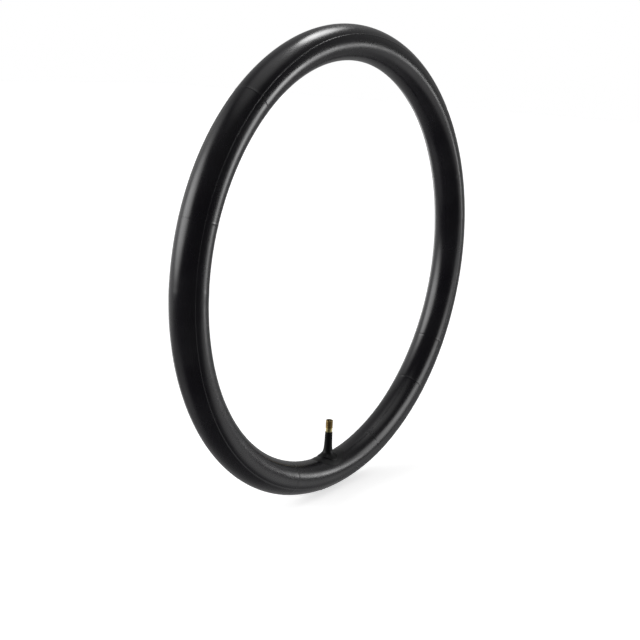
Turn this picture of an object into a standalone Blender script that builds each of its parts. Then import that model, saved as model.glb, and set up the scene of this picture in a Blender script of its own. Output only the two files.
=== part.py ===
"""Bicycle inner tube, 20 x 1.75/1.95 (ISO 47/50-406), with a rubber covered car type valve.

The ring stands upright: its centre is the origin, its axis runs along Y and the valve is at the
bottom, pointing up at the centre. The valve's own pieces share one empty on the valve's axis, so
their heights count upwards from the tube's surface, and the core unscrews along that same axis.

Every size below is in millimetres. MM turns it into metres where a shape is made.
"""

import math

import bpy

MM = 0.001

# The ring.
RING_RADIUS = 225.0  # centre line
TUBE_RADIUS = 17.25  # outside of the round section
WALL = 0.8
RING_STEPS = 72
SECTION_STEPS = 20
INNER_RADIUS = RING_RADIUS - TUBE_RADIUS

# What is bonded to the ring under the valve.
BOND_GAP = 0.3
PATCH_THICK = 1.0
PATCH_LENGTH = 48.0
PATCH_WIDTH = 28.0
FOOT_THICK = 1.2
FOOT_RADIUS = 11.0
PATCH_BASE = TUBE_RADIUS + BOND_GAP
FOOT_BASE = PATCH_BASE + PATCH_THICK + BOND_GAP

# The valve, with heights above the tube's surface.
VALVE_LENGTH = 40.0
AIR_HOLE = 1.9  # radius of the way in for the air
FIT = 0.15  # room between the valve's own pieces
SLEEVE_TOP = 27.0
STEM_RADIUS = 3.1  # brass under the rubber
NECK_RADIUS = 3.5  # bare brass below the thread
THREAD_RADIUS = 3.85  # 8V1 thread
THREAD_BOTTOM = 31.4
HEAD_RADIUS = 4.6
HEAD_BOTTOM = 2.6
HEAD_TOP = 3.6
GROOVE_TOPS = (22.0, 17.0, 12.0)
GROOVE_WIDTH = 1.4
GROOVE_DEPTH = 0.35
TURN_STEPS = 24

# The core, which screws into the mouth of the stem and seals on a cone below it.
MOUTH_RADIUS = 2.75
SEAT_BOTTOM = 30.2
SEAT_TOP = 31.8
SEAT_NARROW = 2.2
SEAT_WIDE = 2.65
PLUG_TOP = 37.4
PLUG_BOTTOM = 33.0
PLUG_BORE = 1.35
LIP_RADIUS = 1.8  # the plug's lip, which holds the rim of the barrel
RIM_RADIUS = 1.98
RIM_BOTTOM = PLUG_BOTTOM + 0.65
RIM_TOP = 34.4
BRIDGE_TOP = 38.9
BRIDGE_LENGTH = 4.3
BRIDGE_WIDTH = 2.3
BARREL_RADIUS = 1.6
BARREL_BORE = 1.25
BARREL_BOTTOM = 25.5
BARREL_FLOOR = 1.0

# The pin, which the pump pushes down against the spring.
PIN_RADIUS = 0.6
PIN_HOLE = PIN_RADIUS + FIT
PIN_TOP = 39.6
PIN_BOTTOM = 22.7
RIVET_RADIUS = 1.0
RIVET_HEIGHT = 0.4
CUP_RADIUS = 1.5
CUP_BOTTOM = PIN_BOTTOM + RIVET_HEIGHT + FIT
CUP_TOP = 24.5
CUP_SKIN = 0.15
CUP_FLOOR = 0.5
SEAL_RADIUS = 1.2
COLLAR_RADIUS = 1.1
COLLAR_TOP = 32.65
COLLAR_BOTTOM = 32.15
WIRE_RADIUS = 0.13
COIL_RADIUS = 0.92
COIL_BOTTOM = BARREL_BOTTOM + BARREL_FLOOR + FIT
COIL_TOP = COLLAR_BOTTOM - FIT
COIL_TURNS = 6
COIL_STEPS = 14


def clear_scene():
    for obj in list(bpy.data.objects):
        bpy.data.objects.remove(obj)


def new_collection(name):
    collection = bpy.data.collections.new(name)
    bpy.context.scene.collection.children.link(collection)
    return collection


def new_material(name, colour, roughness, metallic=0.0):
    material = bpy.data.materials.new(name)
    material.use_nodes = True
    shader = material.node_tree.nodes["Principled BSDF"]
    shader.inputs["Base Color"].default_value = (*colour, 1.0)
    shader.inputs["Roughness"].default_value = roughness
    shader.inputs["Metallic"].default_value = metallic
    return material


def move_to(obj, collection):
    for old in list(obj.users_collection):
        old.objects.unlink(obj)
    collection.objects.link(obj)


def as_piece(obj, name, material, parent=None):
    """Names a piece, gives it its material and hangs it on its empty."""
    obj.name = name
    obj.data.materials.clear()
    obj.data.materials.append(material)
    obj.parent = parent
    move_to(obj, pieces)
    return obj


def as_cutter(obj):
    obj.hide_render = True
    obj.display_type = "WIRE"
    move_to(obj, cutters)
    return obj


def combine(obj, operation, other):
    modifier = obj.modifiers.new(operation.lower(), "BOOLEAN")
    modifier.operation = operation
    modifier.object = other
    modifier.solver = "EXACT"
    return obj


def torus(section_radius):
    """A closed ring about Y, whose section has its corners on section_radius."""
    bpy.ops.mesh.primitive_torus_add(
        rotation=(math.pi / 2, 0, 0),
        major_segments=RING_STEPS,
        minor_segments=SECTION_STEPS,
        major_radius=RING_RADIUS * MM,
        minor_radius=section_radius * MM,
    )
    ring = bpy.context.object
    ring.data.shade_smooth()
    return ring


def hollow_torus(inner_radius, thick):
    """A ring shaped skin that starts inner_radius from the centre line."""
    ring = torus(inner_radius + thick)
    skin = ring.modifiers.new("skin", "SOLIDIFY")
    skin.thickness = thick * MM
    skin.offset = -1.0
    skin.use_even_offset = True
    return ring


def upright_cylinder(radius, bottom, top, width_scale=1.0):
    """A cutter on the valve's axis. Its heights count from the tube's surface."""
    bpy.ops.mesh.primitive_cylinder_add(
        vertices=2 * TURN_STEPS,
        radius=radius * MM,
        depth=(top - bottom) * MM,
        location=(0, 0, ((top + bottom) / 2 - INNER_RADIUS) * MM),
    )
    cylinder = bpy.context.object
    cylinder.scale.y = width_scale
    return as_cutter(cylinder)


def turned(profile, closed=True):
    """Turns a profile of (radius, height) about Z. It runs down the outer side."""
    mesh = bpy.data.meshes.new("profile")
    points = [(radius * MM, 0, height * MM) for radius, height in profile]
    edges = [(i, i + 1) for i in range(len(points) - 1)]
    if closed:
        edges.append((len(points) - 1, 0))
    mesh.from_pydata(points, edges, [])
    obj = bpy.data.objects.new("turned", mesh)
    bpy.context.scene.collection.objects.link(obj)
    screw = obj.modifiers.new("turn", "SCREW")
    screw.steps = TURN_STEPS
    screw.render_steps = TURN_STEPS
    screw.use_smooth_shade = True
    screw.use_merge_vertices = True
    screw.merge_threshold = 0.00001
    return obj


def ring_profile(inner, outer, bottom, top):
    """The four corners of a plain ring's section."""
    return [(outer, top), (outer, bottom), (inner, bottom), (inner, top)]


def grooves(radius, margin):
    """The grooves round the stem, from the top down. A margin narrows them."""
    points = []
    for groove_top in GROOVE_TOPS:
        top = groove_top - margin
        bottom = groove_top - GROOVE_WIDTH + margin
        floor = radius - GROOVE_DEPTH
        points += [(radius, top), (floor, top), (floor, bottom), (radius, bottom)]
    return points


def make_inner_tube():
    """The air chamber: a rubber skin with one punched hole under the valve."""
    tube = hollow_torus(TUBE_RADIUS - WALL, WALL)
    combine(tube, "DIFFERENCE", upright_cylinder(AIR_HOLE, -5, 5))
    as_piece(tube, "inner_tube", butyl)


def make_valve_patch():
    """An oval of rubber that spreads the valve's pull over the tube."""
    patch = hollow_torus(PATCH_BASE, PATCH_THICK)
    oval = upright_cylinder(PATCH_LENGTH / 2, -12, 8, PATCH_WIDTH / PATCH_LENGTH)
    combine(patch, "INTERSECT", oval)
    combine(patch, "DIFFERENCE", upright_cylinder(AIR_HOLE, -5, 5))
    as_piece(patch, "valve_patch", patch_rubber)


def make_valve_sleeve():
    """The moulded rubber of the valve: a curved foot, a cone and the cover of the stem."""
    bore = STEM_RADIUS + FIT
    below_tube = -3.0
    profile = [
        (3.75, SLEEVE_TOP),
        (3.95, SLEEVE_TOP - 0.3),
        (4.2, 12.5),
        (4.6, 10.0),
        (4.9, 7.4),
        (5.6, 5.4),
        (6.9, 3.9),
        (8.6, 3.1),
        (8.6, below_tube),
        (AIR_HOLE, below_tube),
        (AIR_HOLE, HEAD_BOTTOM - FIT),
        (HEAD_RADIUS + FIT, HEAD_BOTTOM - FIT),
        (HEAD_RADIUS + FIT, HEAD_TOP + FIT),
        (bore, HEAD_TOP + FIT),
        *reversed(grooves(bore, FIT)),
        (bore, SLEEVE_TOP),
    ]
    sleeve = as_piece(turned(profile), "valve_sleeve", sleeve_rubber, valve_axis)
    foot = hollow_torus(FOOT_BASE, FOOT_THICK)
    combine(foot, "INTERSECT", upright_cylinder(FOOT_RADIUS, -8, 8))
    combine(foot, "DIFFERENCE", upright_cylinder(HEAD_RADIUS + 3 * FIT, -8, 8))
    combine(sleeve, "DIFFERENCE", as_cutter(torus(FOOT_BASE)))
    combine(sleeve, "UNION", as_cutter(foot))


def make_valve_stem():
    """The brass insert. Its head and its grooves lie in the moulded rubber."""
    chamfer = 0.4
    profile = [
        (THREAD_RADIUS - chamfer, VALVE_LENGTH),
        (THREAD_RADIUS, VALVE_LENGTH - chamfer),
        (THREAD_RADIUS, THREAD_BOTTOM),
        (NECK_RADIUS, THREAD_BOTTOM - chamfer),
        (NECK_RADIUS, SLEEVE_TOP + 2 * FIT),
        (STEM_RADIUS, SLEEVE_TOP + 2 * FIT),
        *grooves(STEM_RADIUS, 0),
        (STEM_RADIUS, HEAD_TOP),
        (HEAD_RADIUS, HEAD_TOP),
        (HEAD_RADIUS, HEAD_BOTTOM),
        (AIR_HOLE, HEAD_BOTTOM),
        (AIR_HOLE, SEAT_BOTTOM - 1.6),
        (SEAT_NARROW, SEAT_BOTTOM - 1.0),
        (SEAT_NARROW, SEAT_BOTTOM),
        (SEAT_WIDE, SEAT_TOP),
        (MOUTH_RADIUS, SEAT_TOP + chamfer),
        (MOUTH_RADIUS, VALVE_LENGTH - 0.2),
        (MOUTH_RADIUS + 0.2, VALVE_LENGTH),
    ]
    as_piece(turned(profile), "valve_stem", brass, valve_axis)


def make_core_plug():
    """The threaded swivel of the core, with the bridge that the valve key turns."""
    outer = MOUTH_RADIUS - FIT
    chamfer = 0.3
    profile = [
        (outer - chamfer, PLUG_TOP),
        (outer, PLUG_TOP - chamfer),
        (outer, PLUG_BOTTOM + chamfer),
        (outer - chamfer, PLUG_BOTTOM),
        (LIP_RADIUS, PLUG_BOTTOM),
        (LIP_RADIUS, RIM_BOTTOM - FIT),
        (RIM_RADIUS + FIT, RIM_BOTTOM - FIT),
        (RIM_RADIUS + FIT, RIM_TOP + FIT),
        (PLUG_BORE, RIM_TOP + 4 * FIT),
        (PLUG_BORE, PLUG_TOP),
    ]
    plug = as_piece(turned(profile), "core_plug", core_brass, valve_axis)
    root = PLUG_TOP - 0.5
    bpy.ops.mesh.primitive_cube_add(size=1.0)
    bridge = bpy.context.object
    bridge.dimensions = (BRIDGE_LENGTH * MM, BRIDGE_WIDTH * MM, (BRIDGE_TOP - root) * MM)
    bridge.location.z = ((BRIDGE_TOP + root) / 2 - INNER_RADIUS) * MM
    combine(plug, "UNION", as_cutter(bridge))
    combine(plug, "DIFFERENCE", upright_cylinder(PIN_HOLE, root - 1, VALVE_LENGTH))


def make_core_barrel():
    """The lower half of the core. Its rim is held in the plug, which turns on it."""
    neck = LIP_RADIUS - FIT
    flange_top = PLUG_BOTTOM - 2 * FIT
    flange_bottom = flange_top - 0.7
    bead_top = SEAT_BOTTOM - 0.2
    bead_bottom = bead_top - 0.5
    profile = [
        (RIM_RADIUS, RIM_TOP),
        (RIM_RADIUS, RIM_BOTTOM),
        (neck, RIM_BOTTOM),
        (neck, flange_top),
        (2.2, flange_top),
        (2.2, flange_bottom),
        (neck, flange_bottom),
        (neck, bead_top),
        (1.95, bead_top),
        (1.95, bead_bottom),
        (BARREL_RADIUS, bead_bottom - 0.3),
        (BARREL_RADIUS, BARREL_BOTTOM),
        (PIN_HOLE, BARREL_BOTTOM),
        (PIN_HOLE, BARREL_BOTTOM + BARREL_FLOOR),
        (BARREL_BORE, BARREL_BOTTOM + BARREL_FLOOR),
        (BARREL_BORE, RIM_TOP),
    ]
    as_piece(turned(profile), "core_barrel", core_brass, valve_axis)


def make_core_gasket():
    """The tapered ring that seals the core in the cone of the stem."""
    profile = [
        (SEAT_WIDE - FIT, SEAT_TOP),
        (SEAT_NARROW - FIT, SEAT_BOTTOM),
        (LIP_RADIUS, SEAT_BOTTOM),
        (LIP_RADIUS, SEAT_TOP),
    ]
    as_piece(turned(profile), "core_gasket", ptfe, valve_axis)


def make_core_pin():
    """The plunger, from the dome that the pump presses to the rivet under the cup."""
    rivet_top = PIN_BOTTOM + RIVET_HEIGHT
    profile = [
        (0, PIN_TOP),
        (PIN_RADIUS * 0.6, PIN_TOP - 0.05),
        (PIN_RADIUS, PIN_TOP - 0.35),
        (PIN_RADIUS, rivet_top),
        (RIVET_RADIUS, rivet_top),
        (RIVET_RADIUS, PIN_BOTTOM),
        (0, PIN_BOTTOM),
    ]
    as_piece(turned(profile, closed=False), "core_pin", core_brass, valve_axis)


def make_spring_collar():
    """The ring on the pin that the spring pushes up."""
    profile = ring_profile(PIN_HOLE, COLLAR_RADIUS, COLLAR_BOTTOM, COLLAR_TOP)
    as_piece(turned(profile), "spring_collar", core_brass, valve_axis)


def make_pin_cup():
    """The brass cup at the foot of the pin, open upwards around its seal."""
    floor = CUP_BOTTOM + CUP_FLOOR
    profile = [
        (CUP_RADIUS, CUP_TOP),
        (CUP_RADIUS, CUP_BOTTOM),
        (PIN_HOLE, CUP_BOTTOM),
        (PIN_HOLE, floor),
        (CUP_RADIUS - CUP_SKIN, floor),
        (CUP_RADIUS - CUP_SKIN, CUP_TOP),
    ]
    as_piece(turned(profile), "pin_cup", core_brass, valve_axis)


def make_pin_seal():
    """The rubber washer in the cup, which shuts the foot of the barrel."""
    bottom = CUP_BOTTOM + CUP_FLOOR + FIT
    profile = ring_profile(PIN_HOLE, SEAL_RADIUS, bottom, BARREL_BOTTOM - FIT)
    as_piece(turned(profile), "pin_seal", seal_rubber, valve_axis)


def make_core_spring():
    """A helix of wire between the foot of the barrel and the collar on the pin."""
    curve = bpy.data.curves.new("core_spring", "CURVE")
    curve.dimensions = "3D"
    curve.bevel_depth = WIRE_RADIUS * MM
    curve.bevel_resolution = 2
    curve.use_fill_caps = True
    bottom = COIL_BOTTOM + WIRE_RADIUS
    height = COIL_TOP - WIRE_RADIUS - bottom
    steps = COIL_TURNS * COIL_STEPS
    wire = curve.splines.new("POLY")
    wire.points.add(steps)
    for i, point in enumerate(wire.points):
        angle = 2 * math.pi * i / COIL_STEPS
        x = COIL_RADIUS * math.cos(angle)
        y = COIL_RADIUS * math.sin(angle)
        z = bottom + height * i / steps
        point.co = (x * MM, y * MM, z * MM, 1.0)
    spring = bpy.data.objects.new("core_spring", curve)
    bpy.context.scene.collection.objects.link(spring)
    as_piece(spring, "core_spring", spring_steel, valve_axis)


clear_scene()
pieces = new_collection("inner tube")
cutters = new_collection("cutters")

butyl = new_material("butyl", (0.018, 0.018, 0.020), 0.36)
patch_rubber = new_material("patch rubber", (0.020, 0.020, 0.021), 0.50)
sleeve_rubber = new_material("sleeve rubber", (0.010, 0.010, 0.011), 0.45)
brass = new_material("brass", (0.78, 0.56, 0.22), 0.28, 1.0)
core_brass = new_material("core brass", (0.82, 0.64, 0.30), 0.25, 1.0)
ptfe = new_material("ptfe", (0.75, 0.20, 0.14), 0.40)
seal_rubber = new_material("seal rubber", (0.020, 0.020, 0.020), 0.60)
spring_steel = new_material("spring steel", (0.60, 0.60, 0.62), 0.30, 1.0)

valve_axis = bpy.data.objects.new("valve_axis", None)
valve_axis.location.z = -INNER_RADIUS * MM
pieces.objects.link(valve_axis)

make_inner_tube()
make_valve_patch()
make_valve_sleeve()
make_valve_stem()
make_core_plug()
make_core_barrel()
make_core_gasket()
make_core_pin()
make_spring_collar()
make_pin_cup()
make_pin_seal()
make_core_spring()
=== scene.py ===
"""A bicycle inner tube with a rubber covered car type valve: the fine surfaces and the studio.

The CAD frame gives the places and the main sizes. Each fine piece stands for one CAD node and
rides on that node's body. Lengths are in millimetres, and MM turns them into metres where a mesh
is made. Heights on the valve count upwards from the tube's surface. Angles round the ring count
from the valve, and angles round its section from the outside.
"""

import math

import bpy
import numpy as np
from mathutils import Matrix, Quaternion, Vector


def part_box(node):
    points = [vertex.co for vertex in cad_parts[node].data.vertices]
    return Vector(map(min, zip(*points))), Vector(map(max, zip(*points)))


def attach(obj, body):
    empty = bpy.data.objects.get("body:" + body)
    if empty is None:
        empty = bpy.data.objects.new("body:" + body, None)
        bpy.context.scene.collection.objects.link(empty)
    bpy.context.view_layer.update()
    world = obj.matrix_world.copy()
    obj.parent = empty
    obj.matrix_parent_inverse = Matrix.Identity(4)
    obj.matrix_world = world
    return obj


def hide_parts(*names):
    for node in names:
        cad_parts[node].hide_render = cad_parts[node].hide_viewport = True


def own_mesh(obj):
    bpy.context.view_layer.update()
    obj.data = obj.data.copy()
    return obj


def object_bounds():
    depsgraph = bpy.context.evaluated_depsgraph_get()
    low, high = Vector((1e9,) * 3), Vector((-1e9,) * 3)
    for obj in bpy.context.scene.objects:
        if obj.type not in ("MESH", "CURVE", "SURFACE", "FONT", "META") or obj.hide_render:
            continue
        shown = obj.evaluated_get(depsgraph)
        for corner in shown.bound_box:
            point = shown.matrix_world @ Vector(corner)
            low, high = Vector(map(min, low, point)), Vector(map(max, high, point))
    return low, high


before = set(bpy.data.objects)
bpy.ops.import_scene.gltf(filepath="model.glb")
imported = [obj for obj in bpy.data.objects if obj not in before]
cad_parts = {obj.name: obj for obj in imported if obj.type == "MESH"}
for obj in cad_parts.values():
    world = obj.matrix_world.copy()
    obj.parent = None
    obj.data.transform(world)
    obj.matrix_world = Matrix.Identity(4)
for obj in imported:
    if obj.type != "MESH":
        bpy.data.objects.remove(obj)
cad_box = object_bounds()

MM = 0.001
TURN = 2 * math.pi
SHARP = 40  # degrees, for turned metal
SHARP_SOFT = 50  # degrees, for rubber and wire


def node_range(node, axis):
    """Lowest and highest value of a CAD node along an axis, in millimetres."""
    low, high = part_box(node)
    return low[axis] / MM, high[axis] / MM


# The ring, from its CAD node.
TUBE_RADIUS = node_range("inner_tube", 1)[1]
RING_RADIUS = node_range("inner_tube", 0)[1] - TUBE_RADIUS
INNER_RADIUS = RING_RADIUS - TUBE_RADIUS


def height(node, end):
    """The bottom (end 0) or the top (end 1) of a valve node above the tube's surface."""
    return node_range(node, 2)[end] + INNER_RADIUS


# The ring's surface, with extra mesh lines this far apart beside each fine line.
RING_STEPS = 720
SECTION_STEPS = 96
SEAM_SPACING = 0.26
CROSS_SPACING = 0.28
# Two mould lines run along the ring, on opposite sides of its section.
SEAM_ANGLE = math.radians(62.0)
SEAM_HEIGHT = 0.26
SEAM_WIDTH = 0.36
# Fine lines run round the section at these degrees from the valve.
CROSS_LINES = (-138.3, -107.0, -19.1, 19.1, 44.5, 60.0, 112.0)
CROSS_HEIGHT = 0.14
CROSS_WIDTH = 0.34
# Short ribs cross the outside under the valve.
RIB_COUNT = 8
RIB_PITCH = 5.4
RIB_HEIGHT = 0.35
RIB_WIDTH = 0.55
RIB_REACH = math.radians(33.0)
# The splice is a low step that dies away along the ring.
SPLICE = math.radians(-91.8)
SPLICE_STEP = 0.10
SPLICE_RISE = (-0.5, 0.3)
SPLICE_FADE = (12.0, 6.0)
# Away from the valve the soft rubber swells and waves a little: (height, waves, phase).
LOOSE_FROM = (0.17, 0.45)
SWELL = 0.32
SWELL_UNEVEN = 0.6
SWELL_PLACE = math.radians(-100.0)
WAVES = ((0.09, 3, 1.1), (0.05, 8, 0.4))
OVAL = 0.07
# The mould lines wander round the section as the ring twists: (radians, waves, phase).
WANDER = ((0.040, 2, 0.6), (0.018, 5, 2.0))

# The patch and the foot. The patch thins out towards its edge and reaches a little into the tube.
PATCH_HALF_LENGTH = node_range("valve_patch", 0)[1]
PATCH_HALF_WIDTH = node_range("valve_patch", 1)[1]
PATCH_THICK = 0.95
PATCH_EDGE = 0.12
PATCH_FEATHER = 0.30  # share of the oval over which the patch thins out
PATCH_DEPTH = 0.25
PATCH_STEPS = 144
FOOT_RADIUS = node_range("valve_sleeve", 0)[1]
FOOT_THICK = 1.35
AIR_HOLE = 1.9

# The valve. Its axis is the frame's Z axis.
VALVE_LENGTH = height("valve_stem", 1)
SLEEVE_TOP = height("valve_sleeve", 1)
HEAD_BOTTOM = height("valve_stem", 0)
HEAD_TOP = HEAD_BOTTOM + 1.0
HEAD_RADIUS = node_range("valve_stem", 0)[1]
THREAD_RADIUS = 3.85
THREAD_BOTTOM = 31.4
THREAD_PITCH = 25.4 / 32
THREAD_DEPTH = 0.42
NECK_RADIUS = 3.5
STEM_RADIUS = 3.1
CORE_PITCH = 25.4 / 36
CORE_THREAD_DEPTH = 0.28
MOUTH_RADIUS = 2.72
SEAT_NARROW = 2.2
SEAT_WIDE = 2.65
TURN_STEPS = 96
SMALL_STEPS = 64
THREAD_ROWS = 16  # rows of mesh in one turn of a thread
THREAD_FADE = 10  # rows over which a thread fades in and out

# The core.
PLUG_TOP = 37.4
PLUG_BOTTOM = 33.0
PLUG_RADIUS = 2.6
PLUG_BORE = 1.35
RIM_RADIUS = 1.98
RIM_BOTTOM = 33.65
RIM_TOP = height("core_barrel", 1)
LIP_RADIUS = 1.8
BRIDGE_TOP = height("core_plug", 1)
BRIDGE_LENGTH = 4.3
BRIDGE_WIDTH = 2.3
BARREL_BOTTOM = height("core_barrel", 0)
BARREL_FLOOR = BARREL_BOTTOM + 1.0
BARREL_RADIUS = 1.6
BARREL_BORE = 1.25
FLANGE_RADIUS = 2.2
BEAD_RADIUS = 1.95
SEAT_TOP = height("core_gasket", 1)
SEAT_BOTTOM = height("core_gasket", 0)
PIN_RADIUS = 0.6
PIN_HOLE = 0.75
PIN_TOP = height("core_pin", 1)
PIN_BOTTOM = height("core_pin", 0)
RIVET_RADIUS = 1.0
COLLAR_RADIUS = 1.1
SEAL_RADIUS = 1.2
CUP_RADIUS = 1.5
CUP_BORE = 1.35
CUP_FLOOR = 0.5
WIRE_RADIUS = 0.13
WIRE_STEPS = 12
COIL_RADIUS = 0.92
COIL_TURNS = 6
COIL_STEPS = 32

# The camera, in metres and degrees.
CAMERA_PLACE = (-0.9435, -0.6644, 0.2178)
CAMERA_AZIMUTH = -54.06
CAMERA_ELEVATION = 13.47
CAMERA_ROLL = 3.07
CAMERA_LENS = 63.8


# ---------------------------------------------------------------- meshes


def grid_faces(rows, columns, closed_rows=True):
    """Quads over a grid whose columns join up, and whose rows do too if closed_rows is set."""
    i = np.arange(rows if closed_rows else rows - 1)[:, None]
    j = np.arange(columns)[None, :]
    i_next = (i + 1) % rows
    j_next = (j + 1) % columns
    quads = np.stack(
        [
            i * columns + j,
            i_next * columns + j,
            i_next * columns + j_next,
            i * columns + j_next,
        ],
        axis=-1,
    )
    return quads.reshape(-1, 4).tolist()


def build(name, points, faces, sharp_angle=None):
    """A mesh object from points in millimetres, with its faces turned outwards.

    Edges sharper than sharp_angle degrees are shaded sharp.
    """
    mesh = bpy.data.meshes.new(name)
    mesh.from_pydata((np.asarray(points, float).reshape(-1, 3) * MM).tolist(), [], faces)
    mesh.validate()
    mesh.shade_smooth()
    if sharp_angle:
        mesh.set_sharp_from_angle(angle=math.radians(sharp_angle))
    obj = bpy.data.objects.new(name, mesh)
    bpy.context.scene.collection.objects.link(obj)
    if signed_volume(mesh) < 0:
        mesh.flip_normals()
    return obj


def signed_volume(mesh):
    """Six times the volume inside a closed mesh, below zero where its faces look inwards."""
    mesh.calc_loop_triangles()
    corners = [tri.vertices for tri in mesh.loop_triangles]
    places = np.array([vertex.co for vertex in mesh.vertices])
    a, b, c = (places[[corner[k] for corner in corners]] for k in range(3))
    return float(np.einsum("ij,ij->i", a, np.cross(b, c)).sum())


def joined(name, parts):
    """One object from several closed shells."""
    with bpy.context.temp_override(
        active_object=parts[0],
        object=parts[0],
        selected_editable_objects=parts,
        selected_objects=parts,
    ):
        bpy.ops.object.join()
    parts[0].name = name
    return parts[0]


def smoothstep(low, high, value):
    """0 at low and 1 at high, with a smooth way between."""
    share = np.clip((value - low) / (high - low), 0.0, 1.0)
    return share * share * (3 - 2 * share)


def softened(profile, size):
    """Rounds the corners of a closed profile of (radius, height)."""
    rounded = []
    count = len(profile)
    for i, corner in enumerate(profile):
        before = Vector(profile[i - 1])
        after = Vector(profile[(i + 1) % count])
        corner = Vector(corner)
        cut = min(size, 0.45 * (before - corner).length, 0.45 * (after - corner).length)
        start = corner + (before - corner).normalized() * cut
        end = corner + (after - corner).normalized() * cut
        for t in (0.0, 0.25, 0.5, 0.75, 1.0):
            point = start * (1 - t) ** 2 + corner * 2 * t * (1 - t) + end * t**2
            rounded.append(tuple(point))
    return rounded


def groove(height_up, angle, pitch):
    """0 on the crest of a right-handed thread and 1 at its root, with a small flat on each."""
    phase = (height_up / pitch - angle / TURN) % 1.0
    return np.clip(1.2 * (1 - np.abs(2 * phase - 1)) - 0.1, 0.0, 1.0)


def thread_rows(radius, start, end, pitch, depth):
    """Rows of (radius, height, pitch, depth) along a thread, which fades in and out."""
    count = int(abs(end - start) / pitch * THREAD_ROWS)
    rows = []
    for i in range(count + 1):
        up = start + (end - start) * i / count
        fade = min(1.0, i / THREAD_FADE, (count - i) / THREAD_FADE)
        rows.append((radius, up, pitch, depth * fade))
    return rows


def circle(steps):
    """Even angles all the way round."""
    return np.arange(steps) * TURN / steps


def level_ring(reach, angle, up):
    """Points round the valve's axis, all at one height."""
    return np.stack(
        [reach * np.cos(angle), reach * np.sin(angle), np.full(len(angle), up - INNER_RADIUS)], -1
    )


def capped_faces(rows, columns):
    """The faces of a grid whose two ends are closed by one face each."""
    faces = grid_faces(rows, columns, closed_rows=False)
    faces.append(list(range(columns)))
    faces.append([(rows - 1) * columns + j for j in range(columns)])
    return faces


def turned(name, profile, steps=TURN_STEPS, closed=True):
    """Turns a profile about the valve's axis. A row may carry a thread's pitch and depth.

    An open profile, from one end of a rod to the other, gets a flat cap at each end.
    """
    angle = circle(steps)
    rings = []
    for radius, up, *thread in profile:
        reach = np.full(steps, float(radius))
        if thread:
            pitch, depth = thread
            reach = reach - depth * groove(up, angle, pitch)
        rings.append(level_ring(reach, angle, up))
    faces = grid_faces(len(rings), steps) if closed else capped_faces(len(rings), steps)
    return build(name, rings, faces, SHARP)


# ---------------------------------------------------------------- the ring


def ring_point(around, section, radius):
    """A point radius from the centre line. around starts at the valve, section at the outside."""
    reach = RING_RADIUS + radius * np.cos(section)
    return np.stack([reach * np.sin(around), -radius * np.sin(section), -reach * np.cos(around)], -1)


def bump(distance, width):
    """The height of a rounded ridge at a distance from its middle, up to 1."""
    return np.exp(-((distance / width) ** 2))


def apart(angle, place):
    """How far an angle is from a place on the same circle, the short way round."""
    return abs((angle - place + math.pi) % TURN - math.pi)


def waves(angle, terms):
    """The sum of sine waves of (height, waves a turn, phase)."""
    return sum(size * np.sin(count * angle + phase) for size, count, phase in terms)


def rib_places():
    """Angles of the ribs from the valve."""
    middle = (RIB_COUNT - 1) / 2
    return [(i - middle) * RIB_PITCH / (RING_RADIUS + TUBE_RADIUS) for i in range(RIB_COUNT)]


def stations(base, lines, offsets):
    """Even steps round a circle, with extra ones beside each fine line."""
    extra = [(line + offset) % TURN for line in lines for offset in offsets]
    close = TURN / base * 0.3
    kept = []
    for i in range(base):
        place = TURN * i / base
        if all(apart(place, other) > close for other in extra):
            kept.append(place)
    return np.array(sorted(kept + extra))


def make_tube():
    """The ring: mould lines along it, fine lines across it, ribs under the valve, a splice."""
    crossings = [math.radians(line) for line in CROSS_LINES]
    seams = (SEAM_ANGLE, SEAM_ANGLE + math.pi)
    around = stations(
        RING_STEPS,
        crossings + rib_places(),
        [k * CROSS_SPACING / RING_RADIUS for k in range(-2, 3)],
    )
    section = stations(
        SECTION_STEPS, seams, [k * SEAM_SPACING / TUBE_RADIUS for k in range(-3, 4)]
    )
    along, across = np.meshgrid(around, section, indexing="ij")
    loose = smoothstep(*LOOSE_FROM, apart(along, 0.0))

    radius = np.full(along.shape, TUBE_RADIUS)
    radius += loose * waves(along, WAVES)
    radius += loose * OVAL * np.cos(2 * across + 2 * along)
    radius += loose * SWELL * (1 + SWELL_UNEVEN * np.cos(along - SWELL_PLACE))
    for seam in seams:
        radius += SEAM_HEIGHT * bump(apart(across, seam) * TUBE_RADIUS, SEAM_WIDTH)
    for line in crossings:
        radius += CROSS_HEIGHT * bump(apart(along, line) * RING_RADIUS, CROSS_WIDTH)
    near_outside = smoothstep(RIB_REACH, RIB_REACH * 0.8, np.minimum(across, TURN - across))
    for place in rib_places():
        distance = apart(along, place) * (RING_RADIUS + TUBE_RADIUS)
        radius += RIB_HEIGHT * bump(distance, RIB_WIDTH) * near_outside
    past = ((along - SPLICE + math.pi) % TURN - math.pi) * RING_RADIUS
    radius += SPLICE_STEP * smoothstep(*SPLICE_RISE, past) * smoothstep(*SPLICE_FADE, past)

    points = ring_point(along, across + waves(along, WANDER), radius)
    return build("fine_inner_tube", points, grid_faces(len(around), len(section)))


# ---------------------------------------------------------------- patch and foot


def tube_height(x, y, above):
    """Height of the surface that lies above the tube's skin by so much, at a place x, y."""
    depth = RING_RADIUS - np.sqrt((TUBE_RADIUS + above) ** 2 - y**2)
    return -np.sqrt(depth**2 - x**2)


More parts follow.
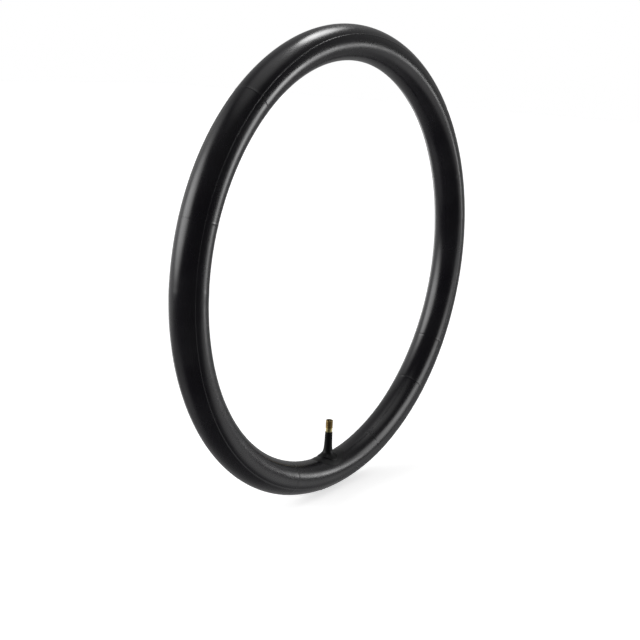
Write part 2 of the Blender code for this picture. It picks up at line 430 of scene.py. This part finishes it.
def make_patch():
    """An oval of rubber with a feathered edge, bonded to the inner side of the ring."""
    angle = circle(PATCH_STEPS)

    def oval(half_length, half_width, above):
        x, y = half_length * np.cos(angle), half_width * np.sin(angle)
        return np.stack([x, y, tube_height(x, y, above)], -1)

    shares = [1.0 - PATCH_FEATHER * (1 - math.cos(k / 10 * math.pi / 2)) for k in range(11)]
    shares += [0.60, 0.48, 0.36, 0.26, 0.18]
    rings = []
    for share in shares:
        edge = min((1 - share) / PATCH_FEATHER, 1.0)
        thick = PATCH_EDGE + (PATCH_THICK - PATCH_EDGE) * float(smoothstep(0.0, 1.0, edge))
        rings.append(oval(PATCH_HALF_LENGTH * share, PATCH_HALF_WIDTH * share, thick))
    rings.append(oval(AIR_HOLE, AIR_HOLE, PATCH_THICK))
    rings.append(oval(AIR_HOLE, AIR_HOLE, -PATCH_DEPTH))
    for share in (0.4, 0.7, 0.98):
        rings.append(oval(PATCH_HALF_LENGTH * share, PATCH_HALF_WIDTH * share, -PATCH_DEPTH))
    return build("fine_valve_patch", rings, grid_faces(len(rings), PATCH_STEPS), SHARP_SOFT)


def make_sleeve():
    """The moulded rubber: a curved foot, a flared cone and the cover of the stem, in one.

    A row is radius, height and how far it follows the curve of the tube, from 0 to 1.
    """
    foot_top = PATCH_THICK + FOOT_THICK
    outside = [
        (FOOT_RADIUS - 0.15, PATCH_THICK - 0.1, 1.0),
        (FOOT_RADIUS, PATCH_THICK + 0.15, 1.0),
        (FOOT_RADIUS, PATCH_THICK + 0.55, 1.0),
        (FOOT_RADIUS - 0.35, PATCH_THICK + 0.95, 1.0),
        (FOOT_RADIUS - 1.0, foot_top - 0.1, 1.0),
        (9.4, foot_top + 0.06, 0.95),
        (8.5, foot_top + 0.28, 0.85),
        (7.5, 3.0, 0.65),
        (6.6, 3.55, 0.4),
        (5.95, 4.25, 0.2),
        (5.5, 5.1, 0.08),
        (5.15, 6.2, 0.0),
        (4.88, 7.6, 0.0),
        (4.66, 9.2, 0.0),
        (4.48, 11.0, 0.0),
        (4.36, 13.0, 0.0),
        (4.26, 16.0, 0.0),
        (4.16, 19.5, 0.0),
        (4.07, 23.0, 0.0),
        (3.98, SLEEVE_TOP - 0.7, 0.0),
        (3.93, SLEEVE_TOP - 0.28, 0.0),
        (3.8, SLEEVE_TOP - 0.07, 0.0),
        (3.62, SLEEVE_TOP, 0.0),
    ]
    gap = 0.06  # round the head of the stem
    bore = STEM_RADIUS + 0.04
    inside = [
        (bore, SLEEVE_TOP - 0.05, 0.0),
        (bore, HEAD_TOP + gap, 0.0),
        (HEAD_RADIUS + gap, HEAD_TOP + gap, 0.0),
        (HEAD_RADIUS + gap, HEAD_BOTTOM - gap, 0.0),
        (AIR_HOLE, HEAD_BOTTOM - gap, 0.0),
        (AIR_HOLE, PATCH_THICK - 0.1, 1.0),
    ]
    seam_rows = range(8, len(outside) - 2)  # from the top of the foot to below the rounded end
    seam_height, seam_width = 0.11, 0.05
    angle = circle(TURN_STEPS)
    seam = seam_height * bump(np.sin(angle), seam_width)
    rings = []
    for k, (radius, up, follow) in enumerate(outside + inside):
        reach = np.full(TURN_STEPS, radius)
        if k in seam_rows:
            reach = reach + seam
        x, y = reach * np.cos(angle), reach * np.sin(angle)
        curved = tube_height(x, y, 0.0) + INNER_RADIUS
        rings.append(np.stack([x, y, up + follow * curved - INNER_RADIUS], -1))
    return build("fine_valve_sleeve", rings, grid_faces(len(rings), TURN_STEPS), SHARP_SOFT)


# ---------------------------------------------------------------- the brass stem and the core


def make_stem():
    """The brass insert, with its cap thread outside and its core thread inside the mouth."""
    chamfer = 0.45
    lead = THREAD_RADIUS - THREAD_DEPTH
    cap_thread = thread_rows(
        THREAD_RADIUS, VALVE_LENGTH - chamfer, THREAD_BOTTOM, THREAD_PITCH, THREAD_DEPTH
    )
    mouth_thread = thread_rows(
        MOUTH_RADIUS, SEAT_TOP + 0.5, VALVE_LENGTH - 0.5, CORE_PITCH, -CORE_THREAD_DEPTH
    )
    below_threads = [
        (NECK_RADIUS, THREAD_BOTTOM - 0.35),
        (NECK_RADIUS, SLEEVE_TOP + 0.25),
        (NECK_RADIUS - 0.12, SLEEVE_TOP + 0.08),
        (STEM_RADIUS, SLEEVE_TOP + 0.05),
        (STEM_RADIUS, HEAD_TOP),
        (HEAD_RADIUS - 0.1, HEAD_TOP),
        (HEAD_RADIUS, HEAD_TOP - 0.1),
        (HEAD_RADIUS, HEAD_BOTTOM + 0.1),
        (HEAD_RADIUS - 0.1, HEAD_BOTTOM),
        (AIR_HOLE, HEAD_BOTTOM),
        (AIR_HOLE, SEAT_BOTTOM - 1.6),
        (SEAT_NARROW, SEAT_BOTTOM - 1.0),
        (SEAT_NARROW, SEAT_BOTTOM),
        (SEAT_WIDE, SEAT_TOP),
        (MOUTH_RADIUS, SEAT_TOP + 0.3),
    ]
    profile = [
        (lead + 0.02, VALVE_LENGTH),
        (lead + 0.12, VALVE_LENGTH - 0.06),
        *cap_thread,
        *below_threads,
        *mouth_thread[1:],
        (MOUTH_RADIUS + 0.1, VALVE_LENGTH - 0.12),
        (MOUTH_RADIUS + 0.25, VALVE_LENGTH),
    ]
    return turned("fine_valve_stem", profile)


def make_plug():
    """The threaded swivel of the core, with the bridge that the valve key turns."""
    gap = 0.12  # round the rim of the barrel
    root = PLUG_RADIUS - CORE_THREAD_DEPTH
    thread = thread_rows(
        PLUG_RADIUS, PLUG_TOP - 0.12, PLUG_BOTTOM + 0.15, CORE_PITCH, CORE_THREAD_DEPTH
    )
    profile = [
        (root, PLUG_TOP),
        *thread,
        (root, PLUG_BOTTOM),
        (LIP_RADIUS, PLUG_BOTTOM),
        (LIP_RADIUS, RIM_BOTTOM - gap),
        (RIM_RADIUS + gap, RIM_BOTTOM - gap),
        (RIM_RADIUS + gap, RIM_TOP + gap),
        (PLUG_BORE, RIM_TOP + 4 * gap),
        (PLUG_BORE, PLUG_TOP - 0.3),
        (PIN_HOLE, PLUG_TOP - 0.3),
        (PIN_HOLE, PLUG_TOP),
    ]
    body = turned("plug_body", profile)
    return joined("fine_core_plug", [body, make_bridge()])


def make_bridge():
    """A bar with rounded ends across the plug, bored for the pin."""
    angle = circle(TURN_STEPS)
    squareness = 5.0
    bevel = 0.22
    bore_chamfer = 0.1
    root = PLUG_TOP - 0.1  # a little way into the plug

    def outline(shrink):
        length, width = BRIDGE_LENGTH / 2 - shrink, BRIDGE_WIDTH / 2 - shrink
        ends = np.abs(np.cos(angle) / length) ** squareness
        sides = np.abs(np.sin(angle) / width) ** squareness
        return (ends + sides) ** (-1 / squareness)

    bevel_bottom = BRIDGE_TOP - bevel
    rows = [(outline(0.0), root), (outline(0.0), bevel_bottom)]
    for k in range(1, 6):
        turn = k / 5 * math.pi / 2
        rows.append((outline(bevel * (1 - math.cos(turn))), bevel_bottom + bevel * math.sin(turn)))
    rows.append((PIN_HOLE + bore_chamfer, BRIDGE_TOP))
    rows.append((PIN_HOLE, BRIDGE_TOP - bore_chamfer))
    rows.append((PIN_HOLE, root))
    points = [level_ring(reach, angle, up) for reach, up in rows]
    return build("bridge", points, grid_faces(len(rows), TURN_STEPS), SHARP)


def make_barrel():
    """The lower half of the core, whose rim the plug turns on."""
    neck = LIP_RADIUS - 0.15
    flange_top = PLUG_BOTTOM - 0.3
    bead_top = SEAT_BOTTOM - 0.2
    profile = [
        (RIM_RADIUS, RIM_TOP),
        (RIM_RADIUS, RIM_BOTTOM),
        (neck, RIM_BOTTOM),
        (neck, flange_top),
        (FLANGE_RADIUS, flange_top),
        (FLANGE_RADIUS, flange_top - 0.7),
        (neck, flange_top - 0.7),
        (neck, bead_top),
        (BEAD_RADIUS, bead_top),
        (BEAD_RADIUS, bead_top - 0.5),
        (BARREL_RADIUS, bead_top - 0.8),
        (BARREL_RADIUS, BARREL_BOTTOM),
        (PIN_HOLE, BARREL_BOTTOM),
        (PIN_HOLE, BARREL_FLOOR),
        (BARREL_BORE, BARREL_FLOOR),
        (BARREL_BORE, RIM_TOP),
    ]
    return turned("fine_core_barrel", softened(profile, 0.1))


def make_gasket():
    """The tapered ring that seals the core in the cone of the stem."""
    middle = (SEAT_TOP + SEAT_BOTTOM) / 2
    profile = [
        (2.5, SEAT_TOP),
        (2.3, middle),
        (2.05, SEAT_BOTTOM),
        (LIP_RADIUS, SEAT_BOTTOM),
        (LIP_RADIUS, SEAT_TOP),
    ]
    return turned("fine_core_gasket", softened(profile, 0.16))


def make_pin():
    """The plunger: a domed top, a straight pin and the rivet head under the cup."""
    dome_height = 0.25
    rivet_top = PIN_BOTTOM + 0.4
    rivet_side = rivet_top - 0.05
    dome = []
    for k in range(1, 9):
        turn = k / 8 * math.pi / 2
        dome.append((PIN_RADIUS * math.sin(turn), PIN_TOP - dome_height * (1 - math.cos(turn))))
    rivet = []
    for k in range(6):
        turn = k / 6 * math.pi / 2
        rivet.append((RIVET_RADIUS * math.cos(turn), rivet_side - 0.35 * math.sin(turn)))
    profile = [*dome, (PIN_RADIUS, rivet_top), (RIVET_RADIUS - 0.05, rivet_top), *rivet]
    profile.append((0.1, PIN_BOTTOM))
    return turned("fine_core_pin", profile, SMALL_STEPS, closed=False)


def make_washer(node, radius, rounding):
    """A plain ring on the pin, with rounded edges."""
    bottom, top = height(node, 0), height(node, 1)
    profile = [(radius, top), (radius, bottom), (PIN_HOLE, bottom), (PIN_HOLE, top)]
    return turned("fine_" + node, softened(profile, rounding), SMALL_STEPS)


def make_collar():
    """The ring on the pin that the spring pushes up."""
    return make_washer("spring_collar", COLLAR_RADIUS, 0.1)


def make_seal():
    """The rubber washer in the cup, which shuts the foot of the barrel."""
    return make_washer("pin_seal", SEAL_RADIUS, 0.18)


def make_cup():
    """The brass cup at the foot of the pin, open upwards around its seal."""
    bottom, top = height("pin_cup", 0), height("pin_cup", 1)
    profile = [
        (CUP_RADIUS, top),
        (CUP_RADIUS, bottom),
        (PIN_HOLE, bottom),
        (PIN_HOLE, bottom + CUP_FLOOR),
        (CUP_BORE, bottom + CUP_FLOOR),
        (CUP_BORE, top),
    ]
    return turned("fine_pin_cup", softened(profile, 0.14), SMALL_STEPS)


def make_spring():
    """A helix of wire between the foot of the barrel and the pin's collar."""
    bottom = height("core_spring", 0) + WIRE_RADIUS
    top = height("core_spring", 1) - WIRE_RADIUS
    rise = (top - bottom) / (COIL_TURNS * TURN * COIL_RADIUS)
    count = COIL_TURNS * COIL_STEPS
    ring = circle(WIRE_STEPS)
    rings = []
    for i in range(count + 1):
        turn = TURN * i / COIL_STEPS
        up = bottom + (top - bottom) * (i / count)
        outward = np.array([math.cos(turn), math.sin(turn), 0.0])
        ahead = np.array([-math.sin(turn), math.cos(turn), rise])
        ahead /= np.linalg.norm(ahead)
        side = np.cross(outward, ahead)
        centre = outward * COIL_RADIUS + np.array([0.0, 0.0, up - INNER_RADIUS])
        around = np.outer(np.cos(ring), outward) + np.outer(np.sin(ring), side)
        rings.append(centre + WIRE_RADIUS * around)
    return build("fine_core_spring", rings, capped_faces(len(rings), WIRE_STEPS), SHARP_SOFT)


# ---------------------------------------------------------------- materials


# Sockets of a Mix node in its colour mode, by number, because its modes share their names.
COLOUR_A, COLOUR_B, COLOUR_RESULT = 6, 7, 2


class Nodes:
    """Short ways to add and join the nodes of one material."""

    def __init__(self, name):
        self.material = bpy.data.materials.new(name)
        self.material.use_nodes = True
        self.tree = self.material.node_tree
        self.shader = self.tree.nodes["Principled BSDF"]
        self.place = self.add("ShaderNodeTexCoord").outputs["Object"]

    def add(self, kind, **settings):
        """A new node with its settings."""
        node = self.tree.nodes.new(kind)
        for key, value in settings.items():
            setattr(node, key, value)
        return node

    def link(self, source, target):
        self.tree.links.new(source, target)

    def noise(self, scale, detail=3.0, roughness=0.5, stretch=None):
        """Noise at a number of lumps to the metre, if wanted stretched along the axes."""
        node = self.add("ShaderNodeTexNoise")
        node.inputs["Scale"].default_value = scale
        node.inputs["Detail"].default_value = detail
        node.inputs["Roughness"].default_value = roughness
        source = self.place
        if stretch:
            mapping = self.add("ShaderNodeMapping")
            mapping.inputs["Scale"].default_value = stretch
            self.link(self.place, mapping.inputs["Vector"])
            source = mapping.outputs["Vector"]
        self.link(source, node.inputs["Vector"])
        return node.outputs["Fac"]

    def remap(self, value, low, high, to_low, to_high):
        """Takes a value's range from low to high smoothly to another range."""
        node = self.add("ShaderNodeMapRange", interpolation_type="SMOOTHSTEP")
        limits = {"From Min": low, "From Max": high, "To Min": to_low, "To Max": to_high}
        for socket, number in limits.items():
            node.inputs[socket].default_value = number
        self.link(value, node.inputs["Value"])
        return node.outputs["Result"]

    def mix(self, share, first, second):
        """A mix of two colours, each a tuple or the output of another node."""
        node = self.add("ShaderNodeMix", data_type="RGBA")
        self.link(share, node.inputs["Factor"])
        for socket, colour in ((COLOUR_A, first), (COLOUR_B, second)):
            if isinstance(colour, tuple):
                node.inputs[socket].default_value = (*colour, 1.0)
            else:
                self.link(colour, node.inputs[socket])
        return node.outputs[COLOUR_RESULT]

    def bumped(self, value, strength, distance, under=None):
        """The normal of a height map, over another normal if one is given."""
        node = self.add("ShaderNodeBump")
        node.inputs["Strength"].default_value = strength
        node.inputs["Distance"].default_value = distance
        self.link(value, node.inputs["Height"])
        if under:
            self.link(under, node.inputs["Normal"])
        return node.outputs["Normal"]

    def roughen(self, value, smooth, rough):
        """Sets the roughness between two numbers by a noise."""
        self.link(self.remap(value, 0.3, 0.7, smooth, rough), self.shader.inputs["Roughness"])

    def radius(self):
        """Distance from the valve's axis, in metres."""
        flat = self.add("ShaderNodeVectorMath", operation="MULTIPLY")
        flat.inputs[1].default_value = (1.0, 1.0, 0.0)
        self.link(self.place, flat.inputs[0])
        length = self.add("ShaderNodeVectorMath", operation="LENGTH")
        self.link(flat.outputs["Vector"], length.inputs[0])
        return length.outputs["Value"]

    def up(self):
        """Height in the row frame, in metres."""
        parts = self.add("ShaderNodeSeparateXYZ")
        self.link(self.place, parts.inputs[0])
        return parts.outputs["Z"]


def rubber(name, dark, light, smooth, rough, grain, gloss=0.5):
    """Black moulded rubber: a fine grain, satin and duller areas, and slight colour changes."""
    nodes = Nodes(name)
    shader = nodes.shader
    shader.inputs["Specular IOR Level"].default_value = gloss
    colour = nodes.mix(nodes.remap(nodes.noise(18, 4), 0.35, 0.65, 0.0, 1.0), dark, light)
    nodes.link(colour, shader.inputs["Base Color"])
    nodes.roughen(nodes.noise(26, 5, 0.6), smooth, rough)
    waves = nodes.bumped(nodes.noise(55, 2), 0.25, 0.0004)
    pores = nodes.bumped(nodes.noise(1400, 3, 0.6), grain, 0.00008, waves)
    nodes.link(pores, shader.inputs["Normal"])
    return nodes.material


def brass(name, bright, tarnish, smooth, rough, thread=None):
    """Turned brass with fine tool marks and stains.

    A thread, (root, crest, bottom, colour, root's colour), is browner, and painted shade darkens it
    towards its root.
    """
    nodes = Nodes(name)
    shader = nodes.shader
    shader.inputs["Metallic"].default_value = 1.0
    stain = nodes.remap(nodes.noise(420, 4), 0.4, 0.7, 0.0, 0.55)
    colour = nodes.mix(stain, bright, tarnish)
    if thread:
        root, crest, bottom, thread_brown, dark = thread
        # Painted shade: the thread's colour darkens towards the root of its groove.
        root_shade_mask = nodes.remap(nodes.radius(), root * MM, crest * MM, 1.0, 0.0)
        low = (bottom - INNER_RADIUS) * MM
        blur = 0.0003
        above = nodes.remap(nodes.up(), low - blur, low + blur, 0.0, 1.0)
        colour = nodes.mix(above, colour, nodes.mix(root_shade_mask, nodes.mix(stain, thread_brown, tarnish), dark))
    nodes.link(colour, shader.inputs["Base Color"])
    nodes.roughen(nodes.noise(900, 3), smooth, rough)
    marks = nodes.noise(300, 2, 0.5, (1.0, 1.0, 60.0))
    nodes.link(nodes.bumped(marks, 0.25, 0.00002), shader.inputs["Normal"])
    return nodes.material


def ptfe(name):
    """The red gasket: slightly waxy, with faint mottling."""
    nodes = Nodes(name)
    colour = nodes.mix(nodes.noise(900, 3), (0.58, 0.09, 0.05), (0.72, 0.15, 0.09))
    nodes.link(colour, nodes.shader.inputs["Base Color"])
    nodes.roughen(nodes.noise(1500, 2), 0.34, 0.48)
    nodes.link(nodes.bumped(nodes.noise(2500, 2), 0.2, 0.00002), nodes.shader.inputs["Normal"])
    return nodes.material


def spring_wire(name):
    """Drawn stainless wire."""
    nodes = Nodes(name)
    nodes.shader.inputs["Metallic"].default_value = 1.0
    colour = nodes.mix(nodes.noise(1200, 3), (0.52, 0.52, 0.53), (0.68, 0.67, 0.65))
    nodes.link(colour, nodes.shader.inputs["Base Color"])
    nodes.roughen(nodes.noise(2000, 2), 0.2, 0.36)
    nodes.link(nodes.bumped(nodes.noise(5000, 2), 0.2, 0.00001), nodes.shader.inputs["Normal"])
    return nodes.material


def floor_paper(name):
    """A matt pale floor, which glows a little so that it stays as white as the studio."""
    nodes = Nodes(name)
    nodes.shader.inputs["Specular IOR Level"].default_value = 0.1
    nodes.shader.inputs["Roughness"].default_value = 0.9
    colour = nodes.mix(nodes.noise(6, 2), (0.90, 0.90, 0.90), (0.93, 0.93, 0.93))
    nodes.link(colour, nodes.shader.inputs["Base Color"])
    nodes.shader.inputs["Emission Color"].default_value = (1.0, 1.0, 1.0, 1.0)
    nodes.shader.inputs["Emission Strength"].default_value = FLOOR_GLOW
    return nodes.material


# ---------------------------------------------------------------- the studio

# Soft lights: azimuth, elevation, the inner and outer half angle of the soft edge in degrees,
# and brightness.
SOFTBOXES = (
    (-132.0, 17.0, 6.0, 30.0, 5.0),
    (43.0, -26.0, 4.0, 22.0, 0.7),
    (150.0, -14.0, 4.0, 18.0, 1.5),
    (-165.0, 8.0, 10.0, 42.0, 0.6),
    (-150.0, 38.0, 5.0, 22.0, 0.8),
    (-140.0, -44.0, 5.0, 25.0, 0.3),
    (40.0, 82.0, 6.0, 34.0, 0.8),
)
# The world around them: brighter behind the ring than in front of it, with a soft change.
BACK_AZIMUTH = 127.0
BACK_EDGE = (40.0, 110.0)
BACK_LIGHT = 0.34
FRONT_LIGHT = 0.07
FLOOR_GLOW = 0.65
FLOOR_HALF_SIZE = 8.0  # metres

# Lamps near the ring, in metres, watts and degrees: name, place, aim, width, power, spread.
LAMPS = (
    ("left_limb_light", (0.43, -0.46, -0.01), (-0.26, 0.0, -0.01), 0.46, 0.15, 31.0),
    ("right_limb_light", (0.377, -0.516, -0.05), (0.129, 0.0, -0.184), 0.34, 0.11, 52.0),
    ("top_light", (0.22, 0.0, 0.66), (-0.06, 0.0, 0.21), 0.24, 0.12, 46.0),
)


def direction(azimuth, elevation):
    """The direction of an azimuth (0 at -Y, 90 at +X) and an elevation in degrees."""
    a, e = math.radians(azimuth), math.radians(elevation)
    return Vector((math.sin(a) * math.cos(e), -math.cos(a) * math.cos(e), math.sin(e)))


def make_world():
    """Soft lights in a studio that is brighter behind the ring. The camera sees plain white."""
    world = bpy.data.worlds.new("studio")
    world.use_nodes = True
    bpy.context.scene.world = world
    tree = world.node_tree
    background = tree.nodes["Background"]
    place = tree.nodes.new("ShaderNodeTexCoord").outputs["Generated"]

    def lobe(towards, inner, outer, low, high):
        """high within inner degrees of a direction, and low outside outer degrees."""
        dot = tree.nodes.new("ShaderNodeVectorMath")
        dot.operation = "DOT_PRODUCT"
        dot.inputs[1].default_value = towards
        tree.links.new(place, dot.inputs[0])
        ramp = tree.nodes.new("ShaderNodeMapRange")
        ramp.interpolation_type = "SMOOTHSTEP"
        ramp.inputs["From Min"].default_value = math.cos(math.radians(outer))
        ramp.inputs["From Max"].default_value = math.cos(math.radians(inner))
        ramp.inputs["To Min"].default_value = low
        ramp.inputs["To Max"].default_value = high
        tree.links.new(dot.outputs["Value"], ramp.inputs["Value"])
        return ramp.outputs["Result"]

    total = lobe(direction(BACK_AZIMUTH, 0.0), *BACK_EDGE, FRONT_LIGHT, BACK_LIGHT)
    for azimuth, elevation, inner, outer, brightness in SOFTBOXES:
        light = lobe(direction(azimuth, elevation), inner, outer, 0.0, brightness)
        add = tree.nodes.new("ShaderNodeMath")
        tree.links.new(total, add.inputs[0])
        tree.links.new(light, add.inputs[1])
        total = add.outputs[0]
    seen = tree.nodes.new("ShaderNodeLightPath").outputs["Is Camera Ray"]
    mix = tree.nodes.new("ShaderNodeMix")
    tree.links.new(seen, mix.inputs["Factor"])
    tree.links.new(total, mix.inputs[2])
    mix.inputs[3].default_value = 1.0
    tree.links.new(mix.outputs[0], background.inputs["Strength"])
    background.inputs["Color"].default_value = (1.0, 1.0, 1.0, 1.0)


def make_lamps():
    """Soft boxes beside and above the ring, which draw the highlights along its limbs."""
    for name, place, aim, width, power, spread in LAMPS:
        data = bpy.data.lights.new(name, "AREA")
        data.shape = "DISK"
        data.size = width
        data.energy = power
        data.spread = math.radians(spread)
        lamp = bpy.data.objects.new(name, data)
        bpy.context.scene.collection.objects.link(lamp)
        lamp.location = place
        lamp.rotation_mode = "QUATERNION"
        lamp.rotation_quaternion = (Vector(aim) - Vector(place)).to_track_quat("-Z", "Y")
        lamp.visible_camera = False


def make_floor():
    """A wide floor under the ring. Glossy rays pass it, so the rubber shows the lights alone."""
    size = FLOOR_HALF_SIZE
    bottom = cad_box[0].z
    mesh = bpy.data.meshes.new("floor")
    corners = [(x * size, y * size, bottom) for x, y in ((-1, -1), (1, -1), (1, 1), (-1, 1))]
    mesh.from_pydata(corners, [], [(0, 1, 2, 3)])
    floor = bpy.data.objects.new("floor", mesh)
    bpy.context.scene.collection.objects.link(floor)
    mesh.materials.append(floor_paper("floor_paper"))
    floor.visible_glossy = False


def make_camera():
    """The camera, which looks along CAMERA_AZIMUTH and CAMERA_ELEVATION and is a little rolled."""
    data = bpy.data.cameras.new("camera")
    data.lens = CAMERA_LENS
    data.sensor_width = 36.0
    camera = bpy.data.objects.new("camera", data)
    bpy.context.scene.collection.objects.link(camera)
    camera.rotation_mode = "QUATERNION"
    camera.location = CAMERA_PLACE
    look = -direction(CAMERA_AZIMUTH, CAMERA_ELEVATION)
    roll = Quaternion((0, 0, 1), math.radians(CAMERA_ROLL))
    camera.rotation_quaternion = look.to_track_quat("-Z", "Y") @ roll
    bpy.context.scene.camera = camera


# ---------------------------------------------------------------- putting it together


def finish_piece(obj, node, body, material):
    """Gives a fine piece its material and its body, and hides the CAD node that it stands for."""
    obj.data.materials.clear()
    obj.data.materials.append(material)
    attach(obj, body)
    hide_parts(node)
    return obj


# Rubber: dark and light colour, least and most roughness, grain and gloss.
butyl = rubber("butyl", (0.0024, 0.0019, 0.0036), (0.0054, 0.0050, 0.0066), 0.22, 0.29, 0.06)
patch_rubber = rubber(
    "patch_rubber", (0.003, 0.003, 0.0033), (0.006, 0.006, 0.0065), 0.36, 0.44, 0.12, 0.35
)
sleeve_rubber = rubber(
    "sleeve_rubber", (0.0015, 0.0015, 0.0016), (0.003, 0.003, 0.0032), 0.38, 0.46, 0.10, 0.2
)
seal_rubber = rubber("seal_rubber", (0.012, 0.012, 0.012), (0.02, 0.02, 0.02), 0.5, 0.65, 0.5)
# Brass: bright and tarnished colour, least and most roughness, and the thread's look: its browner
# colour and the painted shade at its roots.
stem_thread = (3.42, 3.80, THREAD_BOTTOM, (0.46, 0.34, 0.15), (0.10, 0.07, 0.025))
stem_brass = brass("stem_brass", (0.86, 0.74, 0.36), (0.42, 0.32, 0.13), 0.26, 0.38, stem_thread)
core_brass = brass("core_brass", (0.70, 0.56, 0.27), (0.42, 0.30, 0.12), 0.22, 0.34)
red_ptfe = ptfe("ptfe")
steel = spring_wire("spring_steel")

make_camera()
make_world()
make_lamps()
make_floor()
finish_piece(make_tube(), "inner_tube", "tube", butyl)
finish_piece(make_patch(), "valve_patch", "tube", patch_rubber)
finish_piece(make_sleeve(), "valve_sleeve", "tube", sleeve_rubber)
finish_piece(make_stem(), "valve_stem", "tube", stem_brass)
finish_piece(make_plug(), "core_plug", "plug", core_brass)
finish_piece(make_barrel(), "core_barrel", "core", core_brass)
finish_piece(make_gasket(), "core_gasket", "core", red_ptfe)
spring = finish_piece(make_spring(), "core_spring", "core", steel)
finish_piece(make_pin(), "core_pin", "pin", core_brass)
finish_piece(make_collar(), "spring_collar", "pin", core_brass)
finish_piece(make_cup(), "pin_cup", "pin", core_brass)
finish_piece(make_seal(), "pin_seal", "pin", seal_rubber)
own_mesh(spring)

bpy.context.scene.view_settings.view_transform = "Standard"
